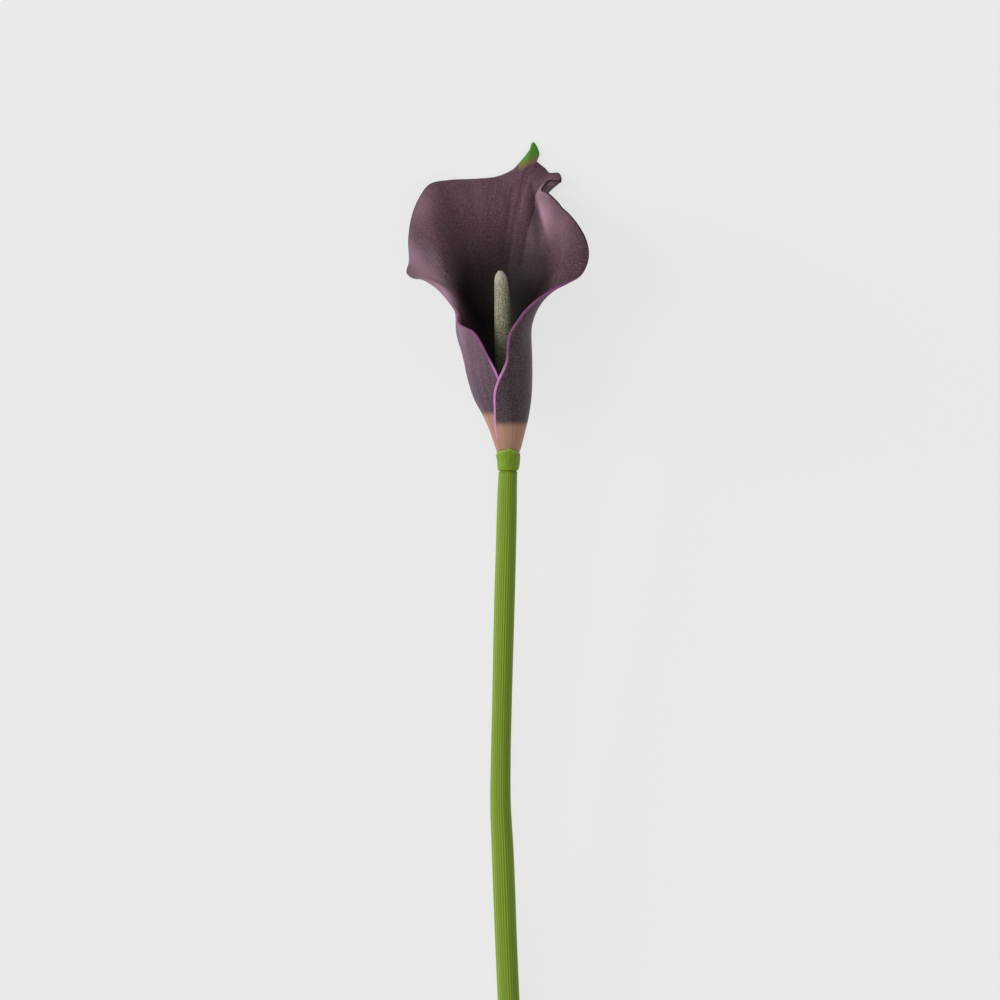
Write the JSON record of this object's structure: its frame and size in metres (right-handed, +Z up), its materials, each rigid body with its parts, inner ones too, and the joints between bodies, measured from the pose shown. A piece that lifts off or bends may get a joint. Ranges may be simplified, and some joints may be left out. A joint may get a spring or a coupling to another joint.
{
  "type": "calla lily flower",
  "caption": "Dark purple calla lily flower with a flared rolled spathe, green curled tip, grainy spadix and ribbed green cut stem, lying on its back.",
  "frame": {"origin": "on the surface that the flower lies on, under the middle of its box", "axes": "+Y along the stem from its cut end towards the flower's tip; +Z up, out of the open mouth of the flower; +X towards the flap that lies on top"},
  "size_m": [0.0671, 0.4171, 0.0393],
  "materials": {
    "spathe_skin": "satin",
    "spadix_florets": "matte",
    "stem_green": "satin",
    "collar_green": "satin"
  },
  "bodies": {
    "root": {"spathe": "spathe_skin", "spadix": "spadix_florets", "stem": "stem_green", "stem_collar": "collar_green"}
  },
  "joints": []
}
